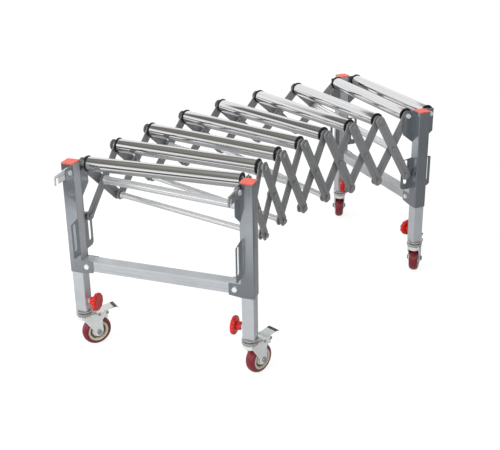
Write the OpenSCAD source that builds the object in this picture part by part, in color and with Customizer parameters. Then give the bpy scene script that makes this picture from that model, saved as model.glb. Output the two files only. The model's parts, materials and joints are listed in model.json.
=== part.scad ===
// Flexible roller table: nine free rollers on a scissor frame that opens, closes and curves,
// carried by two end frames with telescopic legs, clamp knobs and braked casters.
// It stands in a right-hand curve, nearly fully open. +X runs along the front rollers,
// +Y runs back along the table, +Z is up and the wheels stand on Z = 0.

/* [Rollers] */
// Outer diameter of a roller's tube
roller_d = 38; // [34:1:44]
// Length of a roller's bright tube
roller_len = 420; // [320:10:600]
// Wall of a roller's tube
roller_wall = 1.5; // [1:0.1:2.5]
// How much wider than the tube the end flange is
flange_extra = 4.6; // [2:0.2:8]
// Thickness of the end flange
flange_t = 4; // [2:0.5:6]
// Diameter of the fixed axle that a roller turns on
axle_d = 10; // [8:0.5:12]
// Height of the rollers' top above the floor
roller_top = 546; // [500:5:616]

/* [Layout] */
// Spacing of the rollers along the middle of the table
pitch = 131; // [124:1:136]
// Turn of the table at each roller
turn = 6.75; // [0:0.25:7.25]
// Distance from an end frame's leg to the rollers on its wings
wing_reach = 38; // [36:0.5:44]

/* [Scissor bars] */
// Distance between the end pivots of a bar
bar_l = 215; // [205:1:230]
// Width of a bar
bar_w = 30; // [24:1:32]
// Thickness of a bar
bar_t = 2.5; // [2:0.5:4]
// Diameter of the pivot bolts
bolt_d = 8; // [6:0.5:8]
// Outer diameter of a tie tube between two middle pivots
mid_tie_d = 22; // [18:1:26]
// Outer diameter of a tie tube between two lower pivots
low_tie_d = 16; // [14:1:20]

/* [End frames] */
// Side of the square leg tube
leg_w = 33; // [28:1:37]
// Wall of the leg tube and of the crossbar
leg_wall = 1.5; // [1:0.1:2.5]
// Sheet thickness of the leg bracket
sheet_t = 2; // [1.5:0.1:2.5]
// Height of the crossbar's underside above the floor
crossbar_z = 242; // [221:1:256]
// Height of the crossbar
crossbar_h = 30; // [26:1:34]
// Length of the slot that guides the lowest scissor pivots
slot_l = 78; // [70:1:84]
// Height of the lower end of that slot above the floor
slot_z = 308; // [302:1:312]
// Length of the link hook from its bolt to its notch
hook_l = 52; // [46:1:60]

/* [Telescopic legs] */
// Height of the leg tube's foot above the floor, which is the caster's height
caster_h = 116; // [112:1:124]
// Length of the inner leg
inner_leg_l = 300; // [240:5:340]
// Diameter of the clamp knob
knob_d = 50; // [40:1:56]
// Thickness of the knob's wheel
knob_t = 13; // [10:0.5:16]
// Number of finger hollows round the knob
knob_lobes = 10; // [6:1:12]
// Height of the knob's screw above the leg tube's foot
knob_up = 27; // [26:1:34]

/* [Casters] */
// Diameter of the wheel
wheel_d = 82; // [74:1:84]
// Width of the wheel's tread
wheel_w = 28; // [24:1:30]
// Distance from the swivel's axis back to the wheel's axle
trail = 30; // [28:1:34]
// Swivel angle of the front left, front right, back left and back right casters
caster_turn = [51, 66, 106, 90];

/* [Hidden] */
$fn = 48;

// Colours
leg_paint = [0.72, 0.74, 0.77];
bar_paint = [0.42, 0.42, 0.42];
chrome_metal = [0.8, 0.8, 0.82];
zinc_metal = [0.74, 0.77, 0.74];
cap_red = [0.93, 0.3, 0.25];
knob_red = [0.9, 0.16, 0.1];
tread_maroon = [0.45, 0.08, 0.12];
hub_cream = [0.85, 0.8, 0.7];
black_plastic = [0.05, 0.05, 0.05];

// Fits and clearances
fit = 0.05;           // radial gap of a shaft in its hole
gap = 0.4;            // side gap between pieces that turn past each other
loose = 1.6;          // radial gap at the lower scissor pivots
slide_fit = 0.25;     // gap of the inner leg in the leg tube
over = 1;             // how far a cutter runs past the face it cuts

// Rollers
axis_z = roller_top - roller_d / 2;
flange_d = roller_d + flange_extra;
chrome_s = roller_len / 2;
flange_s = chrome_s + flange_t;
plug_l = 14;          // depth of an end cap inside the tube
bearing_lip = 3;      // wall of the cap around the axle

// Sideways places, measured from the middle of the table
collar_l = 3;
walk_in = 4.3;        // room between inner bars and wings, because the bars lean as they fold
walk_out = 3.4;       // the same between wings and outer bars
inner_s = flange_s + collar_l;              // inner face of the inner bars
wing_s = inner_s + bar_t + walk_in;         // inner face of the wings and of the leg tubes
outer_s = wing_s + sheet_t + walk_out;      // inner face of the outer bars
outer_end_s = outer_s + bar_t;
scissor_s = wing_s + sheet_t / 2;           // middle of the scissor, where bar lengths are set
head_af = bolt_d * 1.625;
head_h = bolt_d * 0.66;
collar_d = axle_d * 1.6;
pin_l = 6;            // bare length of the rearmost axle's ends, for a neighbour's hooks

// The curve
function axis_yaw(i) = -i * turn;
function axis_at(i) = i == 0 ? [0, 0]
    : axis_at(i - 1) + pitch * [sin(turn * (i - 0.5)), cos(turn * (i - 0.5))];
units = 7;
function half_pitch(s) = pitch / 2 - s * sin(turn / 2);
function mid_x(s) = s * cos(turn / 2);
function drop(side) = sqrt(bar_l * bar_l - pow(2 * half_pitch(side * scissor_s), 2));
drop_mean = (drop(-1) + drop(1)) / 2;
low_tilt = atan((drop(1) - drop(-1)) / (2 * scissor_s));
mid_tilt = atan((drop(1) - drop(-1)) / 2 / (2 * mid_x(scissor_s)));

// End frames, measured from the plane through the legs' middles
leg_x = wing_s + leg_w / 2;
post_half = leg_w / 2 + sheet_t;
post_out = wing_s + leg_w + sheet_t;
cap_t = 2.4;
post_drop = 4.6;      // leg tube's top below the rollers' top
post_top = roller_top - post_drop;
bracket_foot = 7;     // sleeve below the crossbar's underside
bracket_z = crossbar_z - bracket_foot;
wing_margin = 15;     // wing past the roller's axle
wing_out = wing_reach + wing_margin;
wing_top_h = 72;      // straight height of the top wing
wing_top_taper = 29;  // extra height where it joins the leg
lower_margin = 6;     // sheet past the slot's ends
lower_taper = 7;
slot_extra = 3.6;     // slot's width past the bolt's
slot_w = bolt_d + slot_extra;
gusset_l = 33;
gusset_rise = 4;      // slope of the gusset's lower edge
gusset_bolt_in = 16;
knob_z = caster_h + knob_up;
nut_h = 6.5;
boss_d = 23;
boss_l = 12;
corner_r = 2.5;

// Casters
race_h = 8;           // height of the fixed upper race
race_d = 44;
crown_h = 9;          // height of the turning crown under it
crown_d = 46;
stem_d = 12;
kingpin_head_d = 18;
kingpin_head_h = 3.6;
plug_h = 24;
fork_t = 2.5;
hub_proud = 1;        // hub past the tread on each side
hub_side = 0.8;       // room between the hub and the fork
hub_w = wheel_w + 2 * hub_proud;
fork_in = hub_w / 2 + hub_side;
axle_end_r = 13;
wheel_axle_d = 8;
axle_nut_af = 13;
axle_nut_h = 5;
pivot_x = 35;         // pedal's hinge pin behind the swivel axis
pivot_drop = 22;      // and below the caster's top
pivot_z = caster_h - pivot_drop;
arm_pin_x = 58;       // outer rivet of the fork's arms, behind the swivel axis
arm_pin_drop = 1;     // and below the hinge pin
arm_pin_z = pivot_z - arm_pin_drop;
arm_r = 5.5;
pedal_pin_d = 5;
rivet_d = 8;
rivet_h = 1.4;
pedal_t = 2;
pedal_half = fork_in - gap;
pedal_end_x = 92;     // pedal's bent lip behind the swivel axis
hook_tip = 12;        // hook beyond the middle of its notch

// Extreme points, which put the origin under the middle of the whole table
function back_point(s, d) = [
    axis_at(units).x + s * cos(units * turn) + d * sin(units * turn),
    axis_at(units).y - s * sin(units * turn) + d * cos(units * turn)
];
pin_end_s = wing_s + sheet_t + fit + pin_l + head_h;
left_x = -leg_x - crown_d / 2;
right_x = back_point(pin_end_s, 2 * wing_reach + head_af / 2).x;
front_y = -2 * wing_reach - hook_l - hook_tip;
back_y = back_point(-leg_x, wing_reach).y + (pedal_end_x + pedal_t / 2) * sin(caster_turn[2])
    - pedal_half * cos(caster_turn[2]);
origin = [(left_x + right_x) / 2, (front_y + back_y) / 2, 0];

// Where things go
module table() translate(-origin) children();
module at_axis(i) translate([axis_at(i).x, axis_at(i).y, 0]) rotate(axis_yaw(i)) children();
module at_mid(i) {
    m = (axis_at(i) + axis_at(i + 1)) / 2;
    translate([m.x, m.y, 0]) rotate(axis_yaw(i + 0.5)) children();
}
module front_frame() translate([0, -wing_reach, 0]) children();
module back_frame() at_axis(units) translate([0, wing_reach, 0]) children();
module both_sides() {
    children();
    mirror([1, 0, 0]) children();
}
// Lies along the roller axis, the middle pivots' line or the lower pivots' line
module roller_line(i) at_axis(i) translate([0, 0, axis_z]) children();
module mid_line(i) at_mid(i) translate([0, 0, axis_z - drop_mean / 2])
    rotate([0, mid_tilt, 0]) children();
module low_line(i) at_axis(i) translate([0, 0, axis_z - drop_mean])
    rotate([0, low_tilt, 0]) children();

// Plain shapes
module rod_x(d, x0, x1) translate([x0, 0, 0]) rotate([0, 90, 0]) cylinder(d = d, h = x1 - x0);
module ring_x(d, bore, x0, x1) difference() {
    rod_x(d, x0, x1);
    rod_x(bore, x0 - over, x1 + over);
}
module hex_x(af, x0, x1) translate([x0, 0, 0]) rotate([0, 90, 0])
    cylinder(d = af / cos(30), h = x1 - x0, $fn = 6);
module rounded_square(w, h, r) {
    square([w - 2 * r, h], center = true);
    square([w, h - 2 * r], center = true);
    for (x = [-1, 1], y = [-1, 1]) translate([x * (w / 2 - r), y * (h / 2 - r)]) circle(r);
}
module stadium(l, w) {
    square([l, w], center = true);
    for (x = [-1, 1]) translate([x * l / 2, 0]) circle(d = w);
}
// Draws a flat shape in the Y-Z plane, its thickness running along +X from x
module upright(x, t) translate([x, 0, 0]) rotate([90, 0, 90]) linear_extrude(t) children();

// Scissor bars: end is 1 for a bar that falls away from the front, -1 for one that rises
module bar(side, s, end) {
    middle = side * (s + bar_t / 2);
    hp = half_pitch(middle);
    upright(mid_x(middle) - bar_t / 2, bar_t)
        translate([0, axis_z - drop(side) / 2]) rotate(-end * atan(drop(side) / (2 * hp)))
            stadium(norm([2 * hp, drop(side)]), bar_w);
}
module pivot_hole(d) rod_x(d, -post_out, post_out);

// Places along a tilted pivot line for a sideways distance s
function on_mid(s) = mid_x(s) / cos(mid_tilt);
function on_low(s) = s / cos(low_tilt);

// A bar isn't square to the line of its pivots, so a round face of radius r beside it needs room
head_r = head_af / 2 / cos(30);
collar_r = collar_d / 2;
function lean(r) = gap + r * tan(turn / 2);
function mid_lean(r) = gap + r * tan(mid_tilt);
function low_lean(r) = gap + r * norm([tan(turn / 2), tan(low_tilt)]);

// A bolt through one side: hex head outside, collar between the sheets, nut or plain end inside
module side_bolt(x_in, x_mid0, x_mid1, x_out, nut) {
    rod_x(bolt_d, x_in, x_out + over);
    ring_x(collar_d, bolt_d - over, x_mid0, x_mid1);
    hex_x(head_af, x_out, x_out + head_h);
    if (nut) hex_x(head_af, x_in, x_in + head_h);
}
tie_grip = 10;        // how far a bolt reaches into a tie tube
module mid_bolt(tied) side_bolt(
    tied ? on_mid(inner_s) - tie_grip : on_mid(inner_s) - mid_lean(head_r) - head_h,
    on_mid(inner_s + bar_t) + mid_lean(collar_r), on_mid(outer_s) - mid_lean(collar_r),
    on_mid(outer_end_s) + mid_lean(head_r), !tied);
module low_bolt(tied) side_bolt(
    tied ? on_low(inner_s) - tie_grip : on_low(inner_s) - low_lean(head_r) - loose / 2 - head_h,
    on_low(inner_s + bar_t) + low_lean(collar_r) + loose / 2, on_low(outer_s) - low_lean(collar_r),
    on_low(outer_end_s) + low_lean(head_r), !tied);
// The lowest pivots at the two ends slide in the wings' slots
slot_play = 3.6;      // side room of those bolts
washer_t = 1.5;
washer_d = 2 * bolt_d;
module slot_bolt_outside() {
    head_x = on_low(outer_end_s) + low_lean(head_r);
    rod_x(bolt_d, on_low(wing_s) - slot_play - head_h, head_x + over);
    hex_x(head_af, on_low(wing_s) - slot_play - head_h, on_low(wing_s) - slot_play);
    hex_x(head_af, head_x, head_x + head_h);
}
module slot_bolt_inside() {
    head_x = on_low(inner_s) - low_lean(head_r);
    rod_x(bolt_d, head_x - head_h, on_low(wing_s + sheet_t) + slot_play + over);
    hex_x(head_af, head_x - head_h, head_x);
    rod_x(washer_d, on_low(wing_s + sheet_t) + slot_play,
        on_low(wing_s + sheet_t) + slot_play + washer_t);
    hex_x(head_af, on_low(wing_s + sheet_t) + slot_play + washer_t - over,
        on_low(wing_s + sheet_t) + slot_play + washer_t + head_h);
}

// Tie tube with plugged, collared ends
tie_wall = 1.5;
tie_collar_step = 2;
tie_collar_l = 6;
tie_plug_l = 15;
function collar_end_r(d) = d / 2 + tie_collar_step;
module tie_tube(d, end) {
    difference() {
        union() {
            rod_x(d, -end, end);
            both_sides() rod_x(2 * collar_end_r(d), end - tie_collar_l, end);
        }
        rod_x(d - 2 * tie_wall, tie_plug_l - end, end - tie_plug_l);
        both_sides() rod_x(bolt_d + 2 * fit, end - tie_grip, end + over);
    }
}
module mid_tie(u) color(chrome_metal) mid_line(u) tie_tube(mid_tie_d,
    on_mid(inner_s) - mid_lean(collar_end_r(mid_tie_d)));
module low_tie(i) color(chrome_metal) low_line(i) tie_tube(low_tie_d,
    on_low(inner_s) - low_lean(collar_end_r(low_tie_d)) - loose / 2);

// Fixed axle with collars beside the roller and a hex head at each end
module axle(collars, head_x) {
    rod_x(axle_d, -head_x - over, head_x + over);
    both_sides() {
        for (c = collars) ring_x(collar_d, axle_d - over, c[0], c[1]);
        hex_x(head_af, head_x, head_x + head_h);
    }
}
roller_side = flange_s + gap;
module bar_axle() axle([
    [roller_side, inner_s - lean(collar_r)],
    [inner_s + bar_t + lean(collar_r), outer_s - lean(collar_r)]
], outer_end_s + lean(head_r));
module front_axle() axle([
    [roller_side, wing_s - fit], [wing_s + sheet_t + fit, outer_s - lean(collar_r)]
], outer_end_s + lean(head_r));
module back_axle() axle([
    [roller_side, inner_s - lean(collar_r)], [inner_s + bar_t + lean(collar_r), wing_s - fit]
], wing_s + sheet_t + fit);
module end_axle() axle([[roller_side, wing_s - fit]], wing_s + sheet_t + fit + pin_l);

// Bars of unit u, from roller axis u to axis u + 1
tied_mids = [0, 2, 6];
tied_lows = [1, 2, 4];
function has(list, x) = len([for (v = list) if (v == x) v]) > 0;
module outer_bars(u) {
    color(bar_paint) difference() {
        at_mid(u) for (side = [-1, 1]) bar(side, outer_s, 1);
        roller_line(u) pivot_hole(axle_d + 2 * fit);
        mid_line(u) pivot_hole(bolt_d + 2 * fit);
        low_line(u + 1) pivot_hole(bolt_d + 2 * fit);
    }
    color(zinc_metal) mid_line(u) both_sides() mid_bolt(has(tied_mids, u));
    color(zinc_metal) low_line(u + 1) both_sides()
        if (u + 1 == units) slot_bolt_outside(); else low_bolt(has(tied_lows, u + 1));
}
module inner_bars(u) {
    color(bar_paint) difference() {
        at_mid(u) for (side = [-1, 1]) bar(side, inner_s, -1);
        roller_line(u + 1) pivot_hole(axle_d + 2 * fit);
        mid_line(u) pivot_hole(bolt_d + 2 * fit);
        low_line(u) pivot_hole(bolt_d + 2 * (u == 0 ? fit : loose));
    }
    if (u + 1 < units) color(zinc_metal) roller_line(u + 1) bar_axle();
    if (u == 0) color(zinc_metal) low_line(0) both_sides() slot_bolt_inside();
}

// Roller: bright tube with a flanged black end cap in each end
module end_cap() difference() {
    union() {
        rod_x(flange_d, chrome_s + fit, flange_s);
        rod_x(roller_d - 2 * roller_wall - 2 * fit, chrome_s - plug_l, chrome_s + over);
    }
    rod_x(axle_d + 2 * fit, chrome_s - plug_l - over, flange_s + over);
    rod_x(axle_d + 2 * bearing_lip, chrome_s - plug_l - over, chrome_s - plug_l / 2);
}
module roller() {
    color(chrome_metal) ring_x(roller_d, roller_d - 2 * roller_wall, -chrome_s, chrome_s);
    color(black_plastic) both_sides() end_cap();
}

// End frame, built for the right side and mirrored, in the frame's own middle plane
module channel_outline() difference() {
    intersection() {
        translate([wing_s, 0]) rounded_square(2 * (leg_w + sheet_t), 2 * post_half, corner_r);
        translate([wing_s, -post_half]) square([leg_w + sheet_t, 2 * post_half]);
    }
    translate([wing_s - over, -leg_w / 2 - fit]) square([leg_w + over + fit, leg_w + 2 * fit]);
}
module top_wing() polygon([
    [leg_w / 2 + fit, post_top], [wing_out, post_top], [wing_out, post_top - wing_top_h],
    [leg_w / 2 + fit, post_top - wing_top_h - wing_top_taper]
]);
slot_top = slot_z + slot_l;
wing_low = slot_z - 3 * lower_margin;
module lower_wing() difference() {
    polygon([
        [leg_w / 2 + fit, slot_top + lower_margin], [wing_out, slot_top],
        [wing_out, wing_low + lower_taper], [wing_out - lower_taper, wing_low],
        [leg_w / 2 + fit, wing_low]
    ]);
    translate([wing_reach, slot_z + slot_l / 2]) rotate(90) stadium(slot_l - slot_w, slot_w);
}
module gusset() polygon([
    [wing_s + sheet_t, bracket_z], [wing_s, bracket_z], [wing_s - gusset_l, bracket_z + gusset_rise],
    [wing_s - gusset_l, crossbar_z + crossbar_h], [wing_s + sheet_t, crossbar_z + crossbar_h]
]);
module bracket() difference() {
    union() {
        translate([0, 0, bracket_z]) linear_extrude(post_top - bracket_z) channel_outline();
        for (end = [0, 1]) mirror([0, end, 0]) {
            upright(wing_s, sheet_t) top_wing();
            upright(wing_s, sheet_t) lower_wing();
            translate([0, post_half, 0]) rotate([90, 0, 0]) linear_extrude(sheet_t - fit) gusset();
        }
    }
    for (end = [-1, 1]) translate([0, end * wing_reach, axis_z])
        rod_x(axle_d + 2 * fit, wing_s - over, wing_s + sheet_t + over);
    bolt_y(bolt_d + 2 * fit, post_half + over);
}
module bolt_y(d, half) translate([wing_s - gusset_bolt_in, -half, crossbar_z + crossbar_h / 2])
    rotate([-90, 0, 0]) cylinder(d = d, h = 2 * half);
module crossbar_bolt() {
    bolt_y(bolt_d, post_half + head_h);
    for (end = [0, 1]) mirror([0, end, 0])
        translate([wing_s - gusset_bolt_in, post_half + fit, crossbar_z + crossbar_h / 2])
            rotate([-90, 0, 0]) cylinder(d = head_af / cos(30), h = head_h, $fn = 6);
}
module leg_tube() difference() {
    translate([leg_x, 0, caster_h]) linear_extrude(post_top - caster_h) difference() {
        rounded_square(leg_w, leg_w, corner_r);
        rounded_square(leg_w - 2 * leg_wall, leg_w - 2 * leg_wall, corner_r - leg_wall);
    }
    translate([0, 0, knob_z]) rod_x(bolt_d + 2 * fit, wing_s - over, leg_x);
}
module crossbar() difference() {
    upright(-wing_s, 2 * wing_s) translate([0, crossbar_z + crossbar_h / 2]) difference() {
        rounded_square(leg_w, crossbar_h, corner_r);
        rounded_square(leg_w - 2 * leg_wall, crossbar_h - 2 * leg_wall, corner_r - leg_wall);
    }
    both_sides() bolt_y(bolt_d + 2 * fit, post_half + over);
}
cap_plug_l = 12;
cap_plug_w = leg_w - 2 * leg_wall - 2 * slide_fit;
module leg_cap() {
    translate([wing_s + (leg_w + sheet_t) / 2, 0, post_top]) linear_extrude(cap_t)
        rounded_square(leg_w + sheet_t, 2 * post_half, corner_r);
    translate([leg_x, 0, post_top - cap_plug_l]) linear_extrude(cap_plug_l + cap_t / 2)
        rounded_square(cap_plug_w, cap_plug_w, corner_r - leg_wall);
}
module knob_nut() translate([0, 0, knob_z]) difference() {
    hex_x(head_af, wing_s - nut_h, wing_s);
    rod_x(bolt_d + 2 * fit, wing_s - nut_h - over, wing_s + over);
}
hook_t = 4;
hook_s = wing_s + sheet_t + gap;
module hook_bolt() translate([0, -wing_reach, axis_z]) {
    rod_x(axle_d, wing_s - fit - over, hook_s + hook_t + gap + over);
    hex_x(head_af, wing_s - fit - head_h, wing_s - fit);
    hex_x(head_af, hook_s + hook_t + gap, hook_s + hook_t + gap + head_h);
}
module front_fasteners() color(zinc_metal) {
    roller_line(0) front_axle();
    front_frame() both_sides() {
        crossbar_bolt();
        knob_nut();
        hook_bolt();
    }
}
module back_fasteners() color(zinc_metal) {
    roller_line(units) back_axle();
    back_frame() translate([0, wing_reach, axis_z]) end_axle();
    back_frame() both_sides() {
        crossbar_bolt();
        knob_nut();
    }
}

// Link hook: drops over a neighbour's last axle, one roller spacing ahead
hook_r = 13;
hook_drop = 16;
module hook_outline() difference() {
    union() {
        circle(hook_r);
        translate([-hook_l - hook_tip + hook_r / 2, -hook_r]) square([hook_l + hook_tip, 2 * hook_r]
            - [hook_r / 2, 0]);
        translate([-hook_l - hook_tip, -hook_r]) square([hook_r, 1.5 * hook_r]);
        translate([-hook_l - hook_tip + hook_r / 2, hook_r / 2]) circle(hook_r / 2);
    }
    circle(d = axle_d + 2 * fit);
    translate([-hook_l, 0]) circle(d = axle_d + gap);
    translate([-hook_l - axle_d / 2 - gap / 2, -hook_drop]) square([axle_d + gap, hook_drop]);
}
module hook(side) color(zinc_metal) front_frame() mirror([side > 0 ? 0 : 1, 0, 0])
    translate([0, -wing_reach, axis_z]) upright(hook_s, hook_t) hook_outline();

// Legs in the order front left, front right, back left, back right
module at_leg(k) {
    x = (k % 2 == 0 ? -1 : 1) * leg_x;
    if (k < 2) front_frame() translate([x, 0, 0]) children();
    else back_frame() translate([x, 0, 0]) children();
}
module at_caster(k) at_leg(k) rotate(caster_turn[k] - (k < 2 ? 0 : axis_yaw(units))) children();

// Inner leg with its end plug, the caster's stem and the fixed upper race
inner_w = leg_w - 2 * leg_wall - 2 * slide_fit;
race_top = caster_h - gap;
race_bottom = race_top - race_h;
crown_top = race_bottom - gap;
crown_bottom = crown_top - crown_h;
module inner_leg() {
    color(leg_paint) translate([0, 0, race_top + fit]) linear_extrude(inner_leg_l) difference() {
        rounded_square(inner_w, inner_w, corner_r - leg_wall);
        square(inner_w - 2 * leg_wall, center = true);
    }
    color(black_plastic) translate([0, 0, race_top + fit]) difference() {
        linear_extrude(plug_h) square(inner_w - 2 * leg_wall - 2 * fit, center = true);
        translate([0, 0, -over]) cylinder(d = stem_d + 2 * fit, h = plug_h + 2 * over);
    }
    color(chrome_metal) {
        translate([0, 0, crown_bottom - gap]) cylinder(d = stem_d, h = race_top + plug_h - crown_bottom);
        translate([0, 0, crown_bottom - gap - kingpin_head_h])
            cylinder(d = kingpin_head_d, h = kingpin_head_h);
        translate([0, 0, race_bottom]) rotate_extrude() race_profile(race_d, race_h);
    }
}
// A flat disc's half section with a round edge
module race_profile(d, h) {
    square([d / 2 - h / 2, h]);
    translate([d / 2 - h / 2, h / 2]) circle(h / 2);
}

// Clamp knob: fluted hand wheel on a screw that presses on the inner leg
knob_x1 = wing_s - nut_h - 2 * gap - boss_l;
knob_x0 = knob_x1 - knob_t;
lobe_r = 4;
module knob_outline() difference() {
    circle(d = knob_d);
    for (i = [0 : knob_lobes - 1]) rotate(i * 360 / knob_lobes)
        translate([knob_d / 2 + lobe_r / 3, 0]) circle(lobe_r);
}
module knob(side) mirror([side > 0 ? 0 : 1, 0, 0]) translate([0, 0, knob_z]) {
    color(knob_red) difference() {
        union() {
            translate([knob_x0, 0, 0]) rotate([90, 0, 90]) linear_extrude(knob_t) knob_outline();
            rod_x(boss_d, knob_x1 - over, knob_x1 + boss_l);
        }
        rod_x(bolt_d + 2 * fit, knob_x1 - fit, knob_x1 + boss_l + over);
    }
    color(zinc_metal) rod_x(bolt_d, knob_x1, wing_s + leg_wall + slide_fit - fit);
}
module knob_at(k) {
    if (k < 2) front_frame() knob(k % 2 == 0 ? -1 : 1);
    else back_frame() knob(k % 2 == 0 ? -1 : 1);
}

// Caster, built with the swivel axis on Z and the wheel trailing along +X
wheel_r = wheel_d / 2;
fork_out = fork_in + fork_t;
cheek_lead = 14;      // cheek's front edge ahead of the swivel axis
arm_depth = 9;        // arm below its outer rivet
apron_h = 13;         // rounded front of the fork below the crown
module cheek() difference() {
    union() {
        polygon([
            [-cheek_lead, crown_top], [-cheek_lead, crown_bottom - arm_r],
            [trail - axle_end_r, wheel_r + arm_r], [trail + axle_end_r, wheel_r],
            [trail + axle_end_r, arm_pin_z - 2 * arm_depth], [arm_pin_x - arm_r, arm_pin_z - arm_depth],
            [arm_pin_x, arm_pin_z - arm_r], [arm_pin_x, arm_pin_z + arm_r],
            [pivot_x, pivot_z + arm_r], [crown_d / 2, crown_top]
        ]);
        translate([trail, wheel_r]) circle(axle_end_r);
        translate([arm_pin_x, arm_pin_z]) circle(arm_r);
    }
    translate([trail, wheel_r]) circle(d = wheel_axle_d + 2 * fit);
    for (p = [[pivot_x, pivot_z], [arm_pin_x, arm_pin_z]])
        translate(p) circle(d = pedal_pin_d + 2 * fit);
}
// A pin across the fork at distance x behind the swivel and height z, half as long as given
module cross_pin(d, x, z, half) translate([x, half, z]) rotate([90, 0, 0])
    cylinder(d = d, h = 2 * half);
// The fork's rounded front, open underneath, which joins both cheeks
module apron() difference() {
    translate([0, 0, crown_bottom - apron_h])
        cylinder(d1 = 2 * fork_out, d2 = crown_d - fork_t, h = apron_h + crown_h / 2);
    translate([0, 0, crown_bottom - apron_h - over])
        cylinder(r = fork_in, h = apron_h + over);
    translate([-crown_d / 8, -crown_d, crown_bottom - apron_h - over])
        cube([2 * crown_d, 2 * crown_d, apron_h + over]);
}
module crown() difference() {
    union() {
        translate([0, 0, crown_bottom]) rotate_extrude() race_profile(crown_d, crown_h);
        apron();
    }
    translate([0, 0, crown_bottom - over]) cylinder(d = stem_d + 2 * fit, h = crown_h + 2 * over);
}
module rivet_head(x, z) translate([x, fork_out + fit, z]) rotate([-90, 0, 0])
    cylinder(d = rivet_d, h = rivet_h);
module caster_fork() color(zinc_metal) {
    for (y = [-fork_in, fork_out]) translate([0, y, 0]) rotate([90, 0, 0])
        linear_extrude(fork_t) cheek();
    crown();
    cross_pin(wheel_axle_d, trail, wheel_r, fork_out + axle_nut_h / 2);
    cross_pin(pedal_pin_d, pivot_x, pivot_z, fork_out + rivet_h / 2);
    for (s = [0, 1]) mirror([0, s, 0]) {
        translate([trail, fork_out + fit, wheel_r]) rotate([-90, 0, 0])
            cylinder(d = axle_nut_af / cos(30), h = axle_nut_h, $fn = 6);
        rivet_head(pivot_x, pivot_z);
        rivet_head(arm_pin_x, arm_pin_z);
        translate([arm_pin_x, fork_in, arm_pin_z]) rotate([-90, 0, 0])
            cylinder(d = pedal_pin_d, h = fork_t + rivet_h / 2);
    }
}

// Wheel: rounded tread round a moulded hub with a deep ring groove in each face
tread_share = 0.28;   // part of the wheel's radius that is tread
rim_r = wheel_r * (1 - tread_share);
tread_shoulder = 5.4;
module caster_wheel() translate([trail, 0, wheel_r]) rotate([90, 0, 0]) {
    color(tread_maroon) rotate_extrude()
        translate([(wheel_r + rim_r) / 2, 0]) difference() {
            rounded_square(wheel_r - rim_r, wheel_w, tread_shoulder);
            translate([(rim_r - wheel_r) / 2 - over, -wheel_w]) square([over + fit, 2 * wheel_w]);
        }
    color(hub_cream) rotate_extrude() hub_profile();
}
groove_r0 = rim_r * 0.58;
groove_r1 = rim_r * 0.76;
groove_depth = 8;
boss_r = 8;
face_in = 2;          // hub's web below its boss
rim_in = 1.5;         // hub's rim below its boss
module hub_half() polygon([
    [wheel_axle_d / 2 + fit, 0], [wheel_axle_d / 2 + fit, hub_w / 2], [boss_r, hub_w / 2],
    [boss_r, hub_w / 2 - face_in], [groove_r0, hub_w / 2 - face_in],
    [groove_r0, hub_w / 2 - groove_depth], [groove_r1, hub_w / 2 - groove_depth],
    [groove_r1, hub_w / 2 - rim_in], [rim_r - fit, hub_w / 2 - rim_in], [rim_r - fit, 0]
]);
module hub_profile() for (s = [0, 1]) mirror([0, s]) hub_half();

// Brake pedal: bent foot plate on two side lugs that turn on the fork's pin and carry the shoe
shoe_d = 6;
shoe_gap = 3.6;
shoe_reach = wheel_r + shoe_gap + shoe_d / 2;
shoe_turn = 53;       // angle of the brake shoe round the wheel, up from its trailing side
shoe_x = trail + shoe_reach * cos(shoe_turn);
shoe_z = wheel_r + shoe_reach * sin(shoe_turn);
lug_r = 4.4;
lever_rise = 4.6;     // lever's start above the hinge pin
step_x = 49;          // bend between the lever and the raised pad
step_rise = 2;
pad_run = 3;
pad_rise = 3;
pad_slope = 2.5;
lip_run = 3;          // bent lip at the pad's end
lip_drop = 4.5;
ridge_d = 2;
lever_z = pivot_z + lever_rise;
pedal_step = [step_x, pivot_z + step_rise];
pad_start = pedal_step + [pad_run, pad_rise];
pad_end = [pedal_end_x - lip_run, pad_start.y + pad_slope];
pedal_path = [
    [pivot_x - lug_r, lever_z], pedal_step, pad_start, pad_end, pad_end + [lip_run, -lip_drop]
];
ridge_shares = [0.55, 0.7, 0.85];

// A bent sheet of thickness t along the middle points of its path, with mitred bends
function across(path, i) = let(way = path[i + 1] - path[i]) [-way.y, way.x] / norm(way);
function bend(path, i) = let(
    before = across(path, max(i - 1, 0)), after = across(path, min(i, len(path) - 2))
) (before + after) / (1 + before * after);
module bent_sheet(path, t) {
    ends = len(path) - 1;
    polygon(concat(
        [for (i = [0 : ends]) path[i] + bend(path, i) * t / 2],
        [for (i = [0 : ends]) path[ends - i] - bend(path, ends - i) * t / 2]
    ));
}
module pedal_lug() {
    polygon([
        [pivot_x - lug_r / 2, pivot_z - lug_r / 2], [pivot_x - lug_r / 2, lever_z], pedal_step,
        pad_start, [shoe_x + shoe_d / 3, shoe_z], [shoe_x - shoe_d / 3, shoe_z]
    ]);
    translate([pivot_x, pivot_z]) circle(lug_r);
}
module brake_pedal() color(zinc_metal) rotate([90, 0, 0]) difference() {
    union() {
        linear_extrude(2 * pedal_half, center = true) {
            bent_sheet(pedal_path, pedal_t);
            for (share = ridge_shares) translate(pad_start + share * (pad_end - pad_start)
                + [0, pedal_t / 2]) circle(d = ridge_d);
        }
        for (z = [-pedal_half, pedal_half - pedal_t]) translate([0, 0, z])
            linear_extrude(pedal_t) pedal_lug();
        translate([shoe_x, shoe_z, -pedal_half]) cylinder(d = shoe_d, h = 2 * pedal_half);
    }
    translate([pivot_x, pivot_z, -pedal_half - over])
        cylinder(d = pedal_pin_d + 2 * fit, h = 2 * (pedal_half + over));
}

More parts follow.
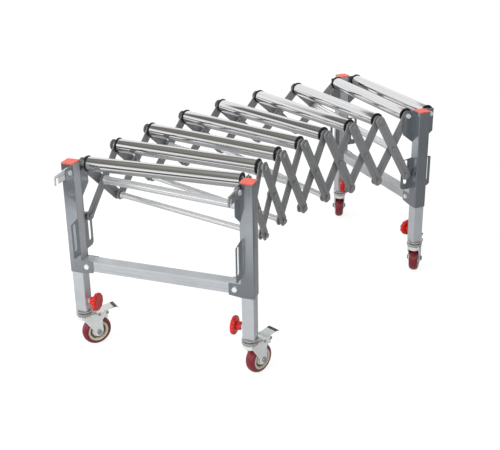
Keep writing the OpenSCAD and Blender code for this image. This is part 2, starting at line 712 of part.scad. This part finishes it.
table() color(leg_paint) front_frame() both_sides() leg_tube();  // front_leg_tubes
table() color(leg_paint) front_frame() both_sides() bracket();  // front_brackets
table() color(leg_paint) front_frame() crossbar();  // front_crossbar
table() color(cap_red) front_frame() both_sides() leg_cap();  // front_caps
table() front_fasteners();
table() color(leg_paint) back_frame() both_sides() leg_tube();  // back_leg_tubes
table() color(leg_paint) back_frame() both_sides() bracket();  // back_brackets
table() color(leg_paint) back_frame() crossbar();  // back_crossbar
table() color(cap_red) back_frame() both_sides() leg_cap();  // back_caps
table() back_fasteners();
table() hook(-1);  // hook_left
table() hook(1);  // hook_right
for (i = [1 : units]) {
    table() outer_bars(i - 1);
    table() inner_bars(i - 1);
}
table() {  // tie_tubes_1
    mid_tie(0);
    low_tie(1);
}
table() low_tie(2);  // tie_tube_2
table() mid_tie(2);  // tie_tube_3
table() low_tie(4);  // tie_tube_4
table() mid_tie(6);  // tie_tube_7
for (i = [0 : units])
    table() roller_line(i) roller();
table() back_frame() translate([0, wing_reach, axis_z]) roller();  // roller_9
corner = ["fl", "fr", "bl", "br"];
for (k = [0 : 3]) {
    table() at_leg(k) inner_leg();
    table() knob_at(k);
    table() at_caster(k) caster_fork();
    table() at_caster(k) caster_wheel();
    table() at_caster(k) brake_pedal();
}
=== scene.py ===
import json
import math

import bmesh
import bpy
from mathutils import Matrix, Vector


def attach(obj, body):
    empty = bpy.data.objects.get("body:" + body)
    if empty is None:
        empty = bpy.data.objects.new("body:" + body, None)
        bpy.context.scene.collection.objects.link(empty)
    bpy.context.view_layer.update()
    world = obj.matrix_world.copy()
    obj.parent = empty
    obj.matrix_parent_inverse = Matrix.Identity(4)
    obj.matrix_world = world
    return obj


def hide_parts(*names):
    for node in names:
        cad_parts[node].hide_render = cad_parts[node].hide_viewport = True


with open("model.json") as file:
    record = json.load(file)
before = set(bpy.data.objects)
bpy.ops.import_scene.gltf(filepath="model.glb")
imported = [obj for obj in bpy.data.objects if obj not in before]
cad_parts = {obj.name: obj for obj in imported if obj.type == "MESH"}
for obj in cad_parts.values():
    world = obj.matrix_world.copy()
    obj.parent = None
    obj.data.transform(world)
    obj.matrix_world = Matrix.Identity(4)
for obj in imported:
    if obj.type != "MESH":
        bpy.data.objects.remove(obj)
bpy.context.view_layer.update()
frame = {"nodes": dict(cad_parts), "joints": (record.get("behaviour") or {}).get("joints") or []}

scene = bpy.context.scene
NODES = frame["nodes"]
JOINTS = {j["name"]: j for j in frame["joints"]}
MM = 0.001
UP = Vector((0, 0, 1))

# Camera: azimuth, elevation and roll in degrees, place in metres, focal length and middle in
# pixels
PHOTO_W, PHOTO_H = 500, 450
CAM_AZ, CAM_EL, CAM_ROLL = 19.35, 20.83, -0.87
CAM_AT = (0.7152, -2.3101, 1.2795)
CAM_F, CAM_MID = 852.9, (250.0, 175.0)
SENSOR, CLIP_END = 36, 50


def make_camera():
    az, el, roll = (math.radians(a) for a in (CAM_AZ, CAM_EL, CAM_ROLL))
    back = Vector((math.sin(az) * math.cos(el), -math.cos(az) * math.cos(el), math.sin(el)))
    right = Vector((math.cos(az), math.sin(az), 0))
    up = back.cross(right)
    x = right * math.cos(roll) + up * math.sin(roll)
    y = up * math.cos(roll) - right * math.sin(roll)
    cam = bpy.data.objects.new("camera", bpy.data.cameras.new("camera"))
    scene.collection.objects.link(cam)
    cam.matrix_world = Matrix.Translation(CAM_AT) @ Matrix((x, y, back)).transposed().to_4x4()
    cam.data.sensor_width = SENSOR
    cam.data.lens = CAM_F * SENSOR / PHOTO_W
    cam.data.shift_x = (PHOTO_W / 2 - CAM_MID[0]) / PHOTO_W
    cam.data.shift_y = (CAM_MID[1] - PHOTO_H / 2) / PHOTO_W
    cam.data.clip_end = CLIP_END
    scene.camera = cam


make_camera()


# Materials
def srgb(*parts):
    """The linear colour of red, green and blue parts from 0 to 255."""
    return tuple(((c / 255 + 0.055) / 1.055) ** 2.4 if c > 10 else c / 3294 for c in parts) + (1,)


def shade(color, k):
    return tuple(min(1, v * k) for v in color[:3]) + (1,)


class Mat:
    """A node material under construction, with its shader and object coordinates at hand."""

    def __init__(self, name, metallic=0.0, **sockets):
        self.m = bpy.data.materials.new(name)
        self.m.use_nodes = True
        self.t = self.m.node_tree
        self.s = self.t.nodes["Principled BSDF"]
        self.s.inputs["Metallic"].default_value = metallic
        for key, value in sockets.items():
            self.s.inputs[key.replace("_", " ")].default_value = value
        self.co = self.t.nodes.new("ShaderNodeTexCoord").outputs["Object"]

    def link(self, a, b):
        self.t.links.new(a, b)

    def noise(self, scale, detail=3.0, rough=0.5, stretch=None, distort=0.0, turn=0.0):
        """Noise in object space. With stretch, the coordinates are first turned about Z by
        turn and then scaled by stretch."""
        n = self.t.nodes.new("ShaderNodeTexNoise")
        n.inputs["Scale"].default_value = scale
        n.inputs["Detail"].default_value = detail
        n.inputs["Roughness"].default_value = rough
        n.inputs["Distortion"].default_value = distort
        source = self.co
        if stretch:
            mapping = self.t.nodes.new("ShaderNodeMapping")
            mapping.inputs["Scale"].default_value = stretch
            turned = self.t.nodes.new("ShaderNodeVectorRotate")
            turned.rotation_type = "Z_AXIS"
            turned.inputs["Angle"].default_value = turn
            self.link(self.co, turned.inputs["Vector"])
            self.link(turned.outputs["Vector"], mapping.inputs["Vector"])
            source = mapping.outputs["Vector"]
        self.link(source, n.inputs["Vector"])
        return n.outputs["Fac"]

    def ramp(self, fac, *stops):
        """A ramp through (place, grey or colour) stops."""
        r = self.t.nodes.new("ShaderNodeValToRGB")
        while len(r.color_ramp.elements) < len(stops):
            r.color_ramp.elements.new(0.5)
        for e, (place, c) in zip(r.color_ramp.elements, stops):
            e.position = place
            e.color = c if isinstance(c, tuple) else (c, c, c, 1)
        self.link(fac, r.inputs["Fac"])
        return r.outputs["Color"]

    def blend(self, fac, low, high):
        """A ramp from low to high over most of a noise's range."""
        return self.ramp(fac, (0.3, low), (0.7, high))

    def over(self, fac, under, color):
        """The constant color laid over the output under, where fac is 1."""
        m = self.t.nodes.new("ShaderNodeMix")
        m.data_type = "RGBA"
        self.link(fac, m.inputs[0])
        self.link(under, m.inputs[6])
        m.inputs[7].default_value = color
        return m.outputs[2]

    def color(self, out):
        self.link(out, self.s.inputs["Base Color"])

    def rough(self, out):
        self.link(out, self.s.inputs["Roughness"])

    def bump(self, height, strength, distance):
        b = self.t.nodes.new("ShaderNodeBump")
        b.inputs["Strength"].default_value = strength
        b.inputs["Distance"].default_value = distance
        self.link(height, b.inputs["Height"])
        self.link(b.outputs["Normal"], self.s.inputs["Normal"])


def paint(name, base, metallic, low, high):
    """Sprayed paint in soft clouds, with a few rubbed specks. Roughness runs from low to high."""
    m = Mat(name, metallic, Coat_Weight=0.12, Coat_Roughness=0.25)
    tint = m.blend(m.noise(14, 4, 0.6), shade(base, 0.93), shade(base, 1.05))
    rub = m.ramp(m.noise(60, 6, 0.7, (1, 1, 0.12), 0.6), (0.66, 0.0), (0.74, 1.0))
    m.color(m.over(rub, tint, shade(base, 1.18)))
    m.rough(m.blend(m.noise(35), low, high))
    m.bump(m.noise(1500, 2), 0.10, 0.0002)
    return m.m


def metal(name, base, low, high, mottle, scale, metallic=1.0):
    """Plated metal whose colour varies by the share mottle."""
    m = Mat(name, metallic)
    m.color(m.blend(m.noise(scale, 5, 0.6), shade(base, 1 - mottle), shade(base, 1 + mottle)))
    m.rough(m.blend(m.noise(scale * 2.2, 4, 0.6), low, high))
    m.bump(m.noise(900, 3, 0.6), 0.015, 0.0001)
    return m.m


def drawn_chrome(name, base, yaw):
    """Chromed tube with the fine lines of drawing along its axis."""
    m = Mat(name, 1.0)
    lines = m.noise(420, 4, 0.65, (0.003, 1, 1), turn=-yaw)
    m.color(m.blend(lines, shade(base, 0.74), shade(base, 1.08)))
    m.rough(m.ramp(m.noise(260, 3, 0.6, (0.01, 1, 1), turn=-yaw), (0.35, 0.05), (0.7, 0.13)))
    m.bump(lines, 0.02, 0.0001)
    return m.m


def plastic(name, base, low, high, grain, depth, **sockets):
    """Moulded plastic with a fine grain."""
    m = Mat(name, 0.0, **sockets)
    m.color(m.blend(m.noise(30, 4, 0.6), shade(base, 0.9), shade(base, 1.08)))
    m.rough(m.blend(m.noise(90), low, high))
    m.bump(m.noise(grain, 2), depth, 0.0002)
    return m.m


leg_paint = paint("silver_paint", srgb(203, 206, 209), 0.35, 0.28, 0.4)
bracket_paint = paint("bracket_paint", srgb(165, 170, 176), 0.85, 0.13, 0.2)
bar_paint = paint("grey_paint", srgb(158, 159, 160), 0.3, 0.26, 0.38)
tie_zinc = metal("tie_zinc", srgb(246, 247, 249), 0.1, 0.18, 0.03, 40, 0.62)
zinc = metal("zinc_plate", srgb(246, 250, 248), 0.13, 0.2, 0.02, 55, 0.3)
# Duller zinc for bolts and rivets, also used as painted shade on the right hook
dull_zinc_and_shade = metal("dull_zinc_and_shade", srgb(176, 177, 175), 0.2, 0.32, 0.05, 55, 0.6)
race_chrome = metal("race_chrome", srgb(214, 215, 216), 0.05, 0.12, 0.03, 60)
# A dark copy of the zinc that is painted shade, for the insides of the forks and the pedals' lips
painted_shade_zinc = metal("painted_shade_zinc", srgb(96, 97, 96), 0.3, 0.42, 0.06, 55, 0.6)
cap_red = plastic("coral_plastic", srgb(246, 100, 78), 0.3, 0.42, 900, 0.08)
knob_red = plastic("red_plastic", srgb(214, 34, 24), 0.16, 0.26, 700, 0.04,
                   Coat_Weight=0.35, Coat_Roughness=0.12)
black = plastic("black_plastic", srgb(26, 26, 27), 0.34, 0.48, 1300, 0.12)
tread_red = plastic("maroon_tread", srgb(128, 22, 36), 0.26, 0.36, 600, 0.06,
                    Coat_Weight=0.55, Coat_Roughness=0.1)
hub_cream = plastic("hub_nylon", srgb(214, 208, 192), 0.34, 0.46, 800, 0.06)
# A dark plastic that is painted shade, for a ring at the bottom of the hub's groove
painted_groove_shade = plastic("groove_shade", srgb(104, 98, 84), 0.5, 0.62, 1200, 0.12)
CHROME = srgb(236, 236, 237)


# Sides of turned shapes: tubes and treads, hubs, caps, the necks of knobs, thin rings
WIDE_SEGS, HUB_SEGS, CAP_SEGS, NECK_SEGS, RING_SEGS = 96, 72, 64, 60, 48


# Mesh helpers. Outlines are in mm, widths of rounded edges too.
def aim(joint):
    """A matrix that puts local X along the joint's axis, local Z as near to up as it can be."""
    x = Vector(joint["axis"]).normalized()
    y = UP.cross(x).normalized()
    turn = Matrix((x, y, x.cross(y))).transposed().to_4x4()
    return Matrix.Translation(joint["pos_m"]) @ turn


def stand_in(node, part, bm, mat, body, place=None, smooth=35):
    """A piece with a mesh of its own, in the place of the node or of a part of it."""
    name = f"{node}.{part}"
    me = bpy.data.meshes.new(name)
    if place is not None:
        bm.transform(place)
    bmesh.ops.recalc_face_normals(bm, faces=bm.faces)
    bm.to_mesh(me)
    bm.free()
    me.materials.append(mat)
    for p in me.polygons:
        p.use_smooth = True
    me.set_sharp_from_angle(angle=math.radians(smooth))
    ob = bpy.data.objects.new(name, me)
    scene.collection.objects.link(ob)
    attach(ob, body)
    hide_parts(node)
    return ob


def circle(bm, x, r, segs):
    """Vertices round the local X axis at x, r mm from it."""
    turns = [2 * math.pi * k / segs for k in range(segs)]
    return [bm.verts.new((x * MM, r * MM * math.cos(a), r * MM * math.sin(a))) for a in turns]


def span_faces(bm, rings):
    """Faces between each ring of vertices and the next."""
    for a, b in zip(rings, rings[1:]):
        for k in range(len(a)):
            n = (k + 1) % len(a)
            bm.faces.new((a[k], a[n], b[n], b[k]))


def lathe(bm, outline, segs):
    """Turns a closed outline of (x, r) points round the local X axis."""
    rings = [circle(bm, x, r, segs) for x, r in outline]
    span_faces(bm, rings + rings[:1])


def turned(outline, segs):
    bm = bmesh.new()
    lathe(bm, outline, segs)
    return bm


def flipped(outline):
    return [(-x, r) for x, r in outline]


def rounded(points, radius):
    """A closed outline with each corner cut back to an arc."""
    out = []
    n = len(points)
    for i, p in enumerate(points):
        p, a, b = (Vector(q) for q in (p, points[i - 1], points[(i + 1) % n]))
        ra = min(radius, (a - p).length * 0.45)
        rb = min(radius, (b - p).length * 0.45)
        s, e = p + (a - p).normalized() * ra, p + (b - p).normalized() * rb
        for t in (0, 0.5, 1):
            out.append(tuple(s * (1 - t) ** 2 + p * 2 * t * (1 - t) + e * t * t))
    return out


MERGE = 2e-6    # metres between vertices that are one


def islands(node):
    """The node's solids, each as its own mesh, with its vertices merged."""
    bm = bmesh.new()
    bm.from_mesh(NODES[node].data)
    bmesh.ops.remove_doubles(bm, verts=bm.verts, dist=MERGE)
    done, out = set(), []
    for start in bm.verts:
        if start in done:
            continue
        done.add(start)
        group = [start]
        for v in group:
            for e in v.link_edges:
                w = e.other_vert(v)
                if w not in done:
                    done.add(w)
                    group.append(w)
        part = bmesh.new()
        new = {v: part.verts.new(v.co) for v in group}
        for f in dict.fromkeys(f for v in group for f in v.link_faces):
            corners = [new[v] for v in f.verts]
            # Merging can leave the same face twice
            if not part.faces.get(corners):
                part.faces.new(corners)
        out.append(part)
    bm.free()
    return out


def joined(parts):
    bm = bmesh.new()
    for p in parts:
        me = bpy.data.meshes.new("part")
        p.to_mesh(me)
        bm.from_mesh(me)
        bpy.data.meshes.remove(me)
        p.free()
    return bm


def extent(part):
    """The sides of a mesh's box."""
    return Vector([max(v.co[k] for v in part.verts) - min(v.co[k] for v in part.verts)
                   for k in range(3)])


def diagonal(part):
    return extent(part).length


def soften(ob, width):
    m = ob.modifiers.new("edges", "BEVEL")
    m.width = width * MM
    m.segments = 2
    m.limit_method = "ANGLE"
    m.angle_limit = math.radians(30)
    m.harden_normals = True
    return ob


def skin(node, mat, body, width):
    """A copy of the node with its edges rounded, in the node's place."""
    return soften(stand_in(node, "skin", joined(islands(node)), mat, body), width)


# Rollers: bright tube with rolled-in ends, black flanged caps with a bearing each
ROLLERS = 9
ROLLER_R, ROLLER_WALL, ROLLER_HALF = 19.0, 1.5, 210.0
FLANGE_R, FLANGE_END, CAP_DEPTH, AXLE_HOLE_R = 21.3, 214.0, 12, 5.2


def roller(i):
    joint = JOINTS[f"roller_{i}_spin"]
    node = f"roller_{i}"
    place = aim(joint)
    chrome = drawn_chrome(f"chrome_{i}", CHROME, math.atan2(joint["axis"][1], joint["axis"][0]))
    r, h = ROLLER_R, ROLLER_HALF
    rolled = [(h / 2, r), (h - 1.4, r), (h - 0.5, r - 0.15), (h, r - 0.7)]
    tube = flipped(rolled[::-1]) + [(0, r)] + rolled + [(h, r - ROLLER_WALL), (-h, r - ROLLER_WALL)]
    stand_in(node, "tube", turned(tube, WIDE_SEGS), chrome, node, place)
    e, f = FLANGE_END, FLANGE_R
    cap = [(h - CAP_DEPTH, r - 1.7), (h + 0.05, r - 1.7), (h + 0.05, f), (e - 0.4, f), (e, f - 1.2),
           (e, 13.5), (e - 1.6, 12.8), (e - 1.6, 8.6), (e - 0.3, 8.2), (e - 0.3, AXLE_HOLE_R),
           (h - CAP_DEPTH, AXLE_HOLE_R)]
    bearing = [(e - 1.5, 12.3), (e - 0.9, 11.8), (e - 0.9, 9.4), (e - 1.5, 8.9)]
    for name, side in (("left", flipped), ("right", list)):
        flange, ring = turned(rounded(side(cap), 0.5), CAP_SEGS), turned(side(bearing), RING_SEGS)
        stand_in(node, f"cap_{name}", flange, black, node, place)
        stand_in(node, f"bearing_{name}", ring, zinc, node, place)


for i in range(1, ROLLERS + 1):
    roller(i)

# Scissor bars with their bolts and axles
UNITS = 7
# In metres: the box of a bar has more than both of these, the box of a bolt or an axle doesn't
BAR_LONG, BAR_TALL = 0.15, 0.1


def bars(node, body):
    """One piece for the node's bars, and one for the rest of it if there is any."""
    parts = islands(node)
    flat = [p for p in parts if diagonal(p) > BAR_LONG and extent(p).z > BAR_TALL]
    rest = [p for p in parts if p not in flat]
    soften(stand_in(node, "bars", joined(flat), bar_paint, body), 0.4)
    if rest:
        soften(stand_in(node, "bolts", joined(rest), dull_zinc_and_shade, body), 0.3)


for i in range(1, UNITS + 1):
    for kind in ("outer", "inner"):
        bars(f"{kind}_bars_{i}", f"{kind}_scissor_{i}")
for node in ("tie_tubes_1", "tie_tube_2", "tie_tube_3", "tie_tube_4", "tie_tube_7"):
    materials = NODES[node].data.materials
    materials.clear()
    materials.append(tie_zinc)

# End frames and hooks
for end in ("front", "back"):
    for part, mat, slot, width in (("leg_tubes", leg_paint, "leg_paint", 0.5),
                                   ("brackets", bracket_paint, "leg_paint", 0.5),
                                   ("crossbar", leg_paint, "leg_paint", 0.5),
                                   ("fasteners", zinc, "zinc", 0.4),
                                   ("caps", cap_red, "cap_red", 0.9)):
        skin(f"{end}_{part}", mat, f"{end}_frame", width)
skin("hook_left", zinc, "hook_left", 0.6)
# The hooks are alike; the right hook's duller zinc is painted shade
skin("hook_right", dull_zinc_and_shade, "hook_right", 0.6)

# Casters, legs and knobs
WHEEL_R, WHEEL_HALF, RIM_R, HUB_HALF, AXLE_R = 41.0, 14.0, 29.5, 15.0, 4.05
GROOVE_R0, GROOVE_R1, GROOVE_DEPTH = 0.58 * RIM_R, 0.76 * RIM_R, 8
KNOB_R, KNOB_T, KNOB_LOBES = 25.0, 13.0, 10
LOBE_STEPS, LOBE_DIP = 12, 0.105    # points round one lobe, and the share cut out between two
# Where finishes and painted shade change on a caster, as refinish measures it
CROWN_Z, CROWN_X = 97.5, 23.5    # the crown is above and in front of these
INSIDE_Y, INSIDE_X = 16.2, -5    # the painted shade inside the fork is within and behind these
RIVET_Y = 18.7                   # the axle's rivets are outside this
LIP_X = 79.0                     # the pedal's lip, with painted shade, is behind this


def wheel(c):
    """Tread and grooved hub, and on each side a bearing seal and a ring of painted shade in the
    groove.
    """
    place = aim(JOINTS[f"wheel_spin_{c}"])
    node = f"caster_wheel_{c}"
    w, r = WHEEL_HALF, WHEEL_R
    edge = [(w, r - 9.6), (w - 0.5, r - 7), (w - 1.9, r - 4.5), (w - 4.3, r - 2.4),
            (w - 7.6, r - 0.9), (w - 11, r - 0.2)]
    tread = [(-w, RIM_R), (w, RIM_R)] + edge + [(1, r), (-1, r)] + flipped(edge[::-1])
    stand_in(node, "tread", turned(tread, WIDE_SEGS), tread_red, node, place)
    h, g0, g1, bed = HUB_HALF, GROOVE_R0, GROOVE_R1, HUB_HALF - GROOVE_DEPTH
    half = [(h, AXLE_R), (h, 7.6), (h - 1.2, 8.4), (h - 2.2, 9), (h - 2.2, g0 - 1.4),
            (h - 3, g0 - 0.4), (bed, g0), (bed, g1), (h - 2.2, g1 + 0.5), (h - 1.4, g1 + 1.2),
            (h - 1.2, RIM_R - 1.2), (h - 1.8, RIM_R - 0.05)]
    hub = turned(rounded(half + flipped(half[::-1]), 0.4), HUB_SEGS)
    stand_in(node, "hub", hub, hub_cream, node, place)
    seal = [(h - 2.0, 9.4), (h - 1.5, 9.8), (h - 1.5, 14.6), (h - 2.0, 15)]
    # Painted shade: a thin dark ring at the bottom of the groove
    shadow = [(bed + 0.1, g0 + 0.2), (bed + 0.6, g0 + 0.3), (bed + 0.6, g1 - 0.3),
              (bed + 0.1, g1 - 0.2)]
    for name, side in (("a", flipped), ("b", list)):
        ring, shade_ring = turned(side(seal), RING_SEGS), turned(side(shadow), RING_SEGS)
        stand_in(node, f"seal_{name}", ring, zinc, node, place)
        stand_in(node, f"groove_{name}", shade_ring, painted_groove_shade, node, place)


def knob(c):
    """The hand wheel with its lobes and neck, and the node's own screw. Each level of the hand
    wheel is a place along the axis and a share of the radius."""
    place = aim(JOINTS[f"knob_turn_{c}"])
    node = f"knob_{c}"
    parts = sorted(islands(node), key=diagonal)
    screw, hand = parts[0], parts[-1]
    to_local = place.inverted()
    xs = [(to_local @ v.co).x / MM for v in hand.verts]
    x0, x2 = min(xs), max(xs)
    x1 = x0 + KNOB_T
    levels = [(x0 + 1.6, 0.28), (x0 + 0.6, 0.5), (x0 + 0.2, 0.72), (x0 + 0.5, 0.86),
              (x0 + 1.6, 0.95), (x0 + 3.6, 1.0), (x1 - 3.6, 1.0), (x1 - 1.6, 0.95),
              (x1 - 0.5, 0.86), (x1, 0.7), (x1, 0.46)]
    bm = bmesh.new()
    rings = []
    for x, share in levels:
        ring = circle(bm, x, KNOB_R * share, KNOB_LOBES * LOBE_STEPS)
        # The dips between the lobes fade towards the axis
        flute = LOBE_DIP * min(1, share ** 6 * 1.1)
        for k, v in enumerate(ring):
            dip = max(0.0, math.cos(2 * math.pi * k / LOBE_STEPS)) ** 1.6
            v.co.yz *= 1 - flute * dip
        rings.append(ring)
    span_faces(bm, rings)
    bm.faces.new(rings[0])
    neck = [(x1 - 0.6, 4.2), (x1 - 0.6, 12.2), (x2 - 1, 11.2), (x2, 10.4), (x2, 4.2)]
    lathe(bm, rounded(neck, 0.6), NECK_SEGS)
    bmesh.ops.holes_fill(bm, edges=[e for e in bm.edges if e.is_boundary])
    stand_in(node, "wheel", bm, knob_red, node, place, 40)
    stand_in(node, "screw", screw, zinc, node)


def refinish(ob, c, mat, test):
    """Gives mat to the faces of a caster's piece that pass the test, by the middle of the
    face: x mm behind the swivel axis, y mm to either side, z mm above the floor."""
    swivel, spin = JOINTS[f"caster_swivel_{c}"], JOINTS[f"wheel_spin_{c}"]
    foot = Vector((swivel["pos_m"][0], swivel["pos_m"][1], 0))
    across = Vector(spin["axis"]).normalized()
    back = Vector(spin["pos_m"]) - foot
    back.z = 0
    back.normalize()
    ob.data.materials.append(mat)
    last = len(ob.data.materials) - 1
    for p in ob.data.polygons:
        v = (p.center - foot) / MM
        if test(v.dot(back), abs(v.dot(across)), v.z):
            p.material_index = last


def caster(c):
    """The inner leg, then the fork with its chromed crown, painted shade inside and rivets, then
    the pedal with painted shade on its lip."""
    node = f"inner_leg_{c}"
    finishes = (("plug", black, "leg_paint"), ("stem", race_chrome, "chrome"),
                ("tube", leg_paint, "leg_paint"))
    for bm, (part, mat, slot) in zip(sorted(islands(node), key=diagonal), finishes):
        stand_in(node, part, bm, mat, node)
    node = f"caster_fork_{c}"
    fork = skin(node, zinc, node, 0.5)
    refinish(fork, c, race_chrome, lambda x, y, z: z > CROWN_Z and x < CROWN_X)
    # Painted shade on the inside of the fork's cheeks, below the crown
    refinish(fork, c, painted_shade_zinc, lambda x, y, z: y < INSIDE_Y and z < CROWN_Z and x > INSIDE_X)
    refinish(fork, c, dull_zinc_and_shade, lambda x, y, z: y > RIVET_Y)
    node = f"brake_pedal_{c}"
    pedal = skin(node, zinc, node, 0.4)
    # Painted shade on the pedal's lip
    refinish(pedal, c, painted_shade_zinc, lambda x, y, z: x > LIP_X)


for c in ("fl", "fr", "bl", "br"):
    wheel(c)
    knob(c)
    caster(c)


# Floor, light and background
def dot(t, vector, direction):
    n = t.nodes.new("ShaderNodeVectorMath")
    n.operation = "DOT_PRODUCT"
    n.inputs[1].default_value = direction
    t.links.new(vector, n.inputs[0])
    return n.outputs["Value"]


def span(t, value, start, end, low, high):
    """Low up to start, high from end, and a straight run between them."""
    n = t.nodes.new("ShaderNodeMapRange")
    for socket, v in (("From Min", start), ("From Max", end), ("To Min", low), ("To Max", high)):
        n.inputs[socket].default_value = v
    t.links.new(value, n.inputs["Value"])
    return n.outputs["Result"]


def combine(t, how, a, b):
    """A math node on two outputs, or on an output and a number."""
    n = t.nodes.new("ShaderNodeMath")
    n.operation = how
    t.links.new(a, n.inputs[0])
    if isinstance(b, float):
        n.inputs[1].default_value = b
    else:
        t.links.new(b, n.inputs[1])
    return n.outputs[0]


def choose(t, share, first, second):
    """The second shader where share is 1, the first where it is 0."""
    n = t.nodes.new("ShaderNodeMixShader")
    for socket, out in zip(n.inputs, (share, first, second)):
        t.links.new(out, socket)
    return n.outputs[0]


FLOOR_HALF, FLOOR_DROP = 30, 0.0004
FLOOR_GREY = (0.86, 0.86, 0.86, 1)
GLOW, GLOW_SHARE = 1.2, 0.72    # the camera sees a floor that glows and still takes a shadow
ALONG = (0.38, 0.92)            # the table's direction on the floor
RIGHTWARD = (1, 0.12, 0)
# Half axes of the dim patch, across the table and along it, and the light of the dim parts
NEAR_WIDE, NEAR_LONG = 0.85, 1.25
NEAR_DIM, SIDE_DIM, FRONT_DIM = 0.4, 0.25, 0.1


def make_stage():
    bm = bmesh.new()
    bmesh.ops.create_grid(bm, x_segments=1, y_segments=1, size=FLOOR_HALF)
    me = bpy.data.meshes.new("floor")
    bm.to_mesh(me)
    bm.free()
    floor = bpy.data.objects.new("floor", me)
    floor.location.z = -FLOOR_DROP
    scene.collection.objects.link(floor)
    m = bpy.data.materials.new("floor")
    m.use_nodes = True
    t = m.node_tree
    t.nodes.clear()
    out = t.nodes.new("ShaderNodeOutputMaterial")
    seen = t.nodes.new("ShaderNodeLightPath")
    # Shiny parts see a floor that is dim under and near the table and to its right, and dark
    # far in front
    place = t.nodes.new("ShaderNodeTexCoord").outputs["Object"]
    u, v = ALONG
    both = t.nodes.new("ShaderNodeCombineXYZ")
    t.links.new(dot(t, place, (v / NEAR_WIDE, -u / NEAR_WIDE, 0)), both.inputs["X"])
    t.links.new(dot(t, place, (u / NEAR_LONG, v / NEAR_LONG, 0)), both.inputs["Y"])
    away = t.nodes.new("ShaderNodeVectorMath")
    away.operation = "LENGTH"
    t.links.new(both.outputs["Vector"], away.inputs[0])
    near = span(t, away.outputs["Value"], 0.85, 1.15, NEAR_DIM, 1.0)
    side = span(t, dot(t, place, RIGHTWARD), -0.02, 0.52, 1.0, SIDE_DIM)
    front = span(t, dot(t, place, (u, v, 0)), -1.85, -1.65, FRONT_DIM, 1.0)
    lit = t.nodes.new("ShaderNodeEmission")
    dim = combine(t, "MINIMUM", combine(t, "MINIMUM", near, side), front)
    t.links.new(dim, lit.inputs["Strength"])
    diffuse = t.nodes.new("ShaderNodeBsdfDiffuse")
    diffuse.inputs["Color"].default_value = FLOOR_GREY
    glow = t.nodes.new("ShaderNodeEmission")
    glow.inputs["Strength"].default_value = GLOW
    share = combine(t, "MULTIPLY", seen.outputs["Is Camera Ray"], GLOW_SHARE)
    plain = choose(t, share, diffuse.outputs[0], glow.outputs[0])
    shiny = choose(t, seen.outputs["Is Glossy Ray"], plain, lit.outputs[0])
    t.links.new(shiny, out.inputs["Surface"])
    me.materials.append(m)


BRIGHT_SIDE = Vector((-0.55, -0.75, 0.2)).normalized()
WHITE_WALL = Vector((-0.754, 0.633, -0.174))
HORIZON = (0.03, 0.13, 1)    # the white band reaches a little higher in front
# The height as a share of straight up, and the light there
CEILING = ((0.3, (0.26, 0.253, 0.235, 1)), (0.5, (0.15, 0.1455, 0.132, 1)),
           (0.7, (0.19, 0.1843, 0.1672, 1)), (0.86, (0.27, 0.2619, 0.2376, 1)),
           (0.96, (0.4, 0.39, 0.37, 1)))
ROOM = (0.98, 0.99, 1.0, 1)


def make_world():
    w = bpy.data.worlds.new("studio")
    scene.world = w
    w.use_nodes = True
    t = w.node_tree
    t.nodes.clear()
    out = t.nodes.new("ShaderNodeOutputWorld")
    seen = t.nodes.new("ShaderNodeLightPath")
    aim_at = t.nodes.new("ShaderNodeTexCoord").outputs["Generated"]
    # Shiny surfaces see a white band along the horizon, a white wall to the back left, and a
    # dark ceiling that is darkest at half height and lighter overhead
    low = span(t, dot(t, aim_at, HORIZON), 0.27, 0.42, 1.0, 0.0)
    wall = span(t, dot(t, aim_at, WHITE_WALL), 0.53, 0.6, 0.0, 1.0)
    bands = t.nodes.new("ShaderNodeValToRGB")
    stops = bands.color_ramp.elements
    for place, color in CEILING[1:-1]:
        stops.new(place).color = color
    for stop, (place, color) in ((stops[0], CEILING[0]), (stops[-1], CEILING[-1])):
        stop.position, stop.color = place, color
    t.links.new(dot(t, aim_at, UP), bands.inputs["Fac"])
    ceiling = t.nodes.new("ShaderNodeMix")
    ceiling.data_type = "RGBA"
    t.links.new(combine(t, "MAXIMUM", low, wall), ceiling.inputs[0])
    t.links.new(bands.outputs["Color"], ceiling.inputs[6])
    ceiling.inputs[7].default_value = (1, 1, 1, 1)
    glossy = t.nodes.new("ShaderNodeBackground")
    t.links.new(ceiling.outputs[2], glossy.inputs["Color"])
    # Matt surfaces see a room that is bright in front and to the left and dim elsewhere
    soft = t.nodes.new("ShaderNodeBackground")
    soft.inputs["Color"].default_value = ROOM
    room = span(t, dot(t, aim_at, BRIGHT_SIDE), -0.35, 0.85, 0.1, 1.15)
    t.links.new(room, soft.inputs["Strength"])
    # The camera sees the node's own light grey
    even = t.nodes.new("ShaderNodeBackground")
    camera, through = seen.outputs["Is Camera Ray"], seen.outputs["Is Transmission Ray"]
    direct = combine(t, "MAXIMUM", camera, through)
    light = choose(t, seen.outputs["Is Glossy Ray"], soft.outputs[0], glossy.outputs[0])
    t.links.new(choose(t, direct, light, even.outputs[0]), out.inputs["Surface"])


LAMP_AIM = Vector((0, 0, 0.3))


def lamp(name, at, size, power):
    """A soft lamp that points at the middle of the table and shows in no mirror."""
    data = bpy.data.lights.new(name, "AREA")
    data.shape = "RECTANGLE"
    data.size, data.size_y = size
    data.energy = power
    ob = bpy.data.objects.new(name, data)
    scene.collection.objects.link(ob)
    ob.location = at
    ob.rotation_mode = "QUATERNION"
    ob.rotation_quaternion = (LAMP_AIM - Vector(at)).to_track_quat("-Z", "Y")
    ob.visible_camera = False
    ob.visible_glossy = False


make_stage()
make_world()
lamp("key", (-1.6, -3.2, 2.2), (2.0, 1.6), 60)
lamp("top", (0.2, 0.4, 3.0), (2.4, 2.4), 22)
scene.view_settings.view_transform = "Standard"
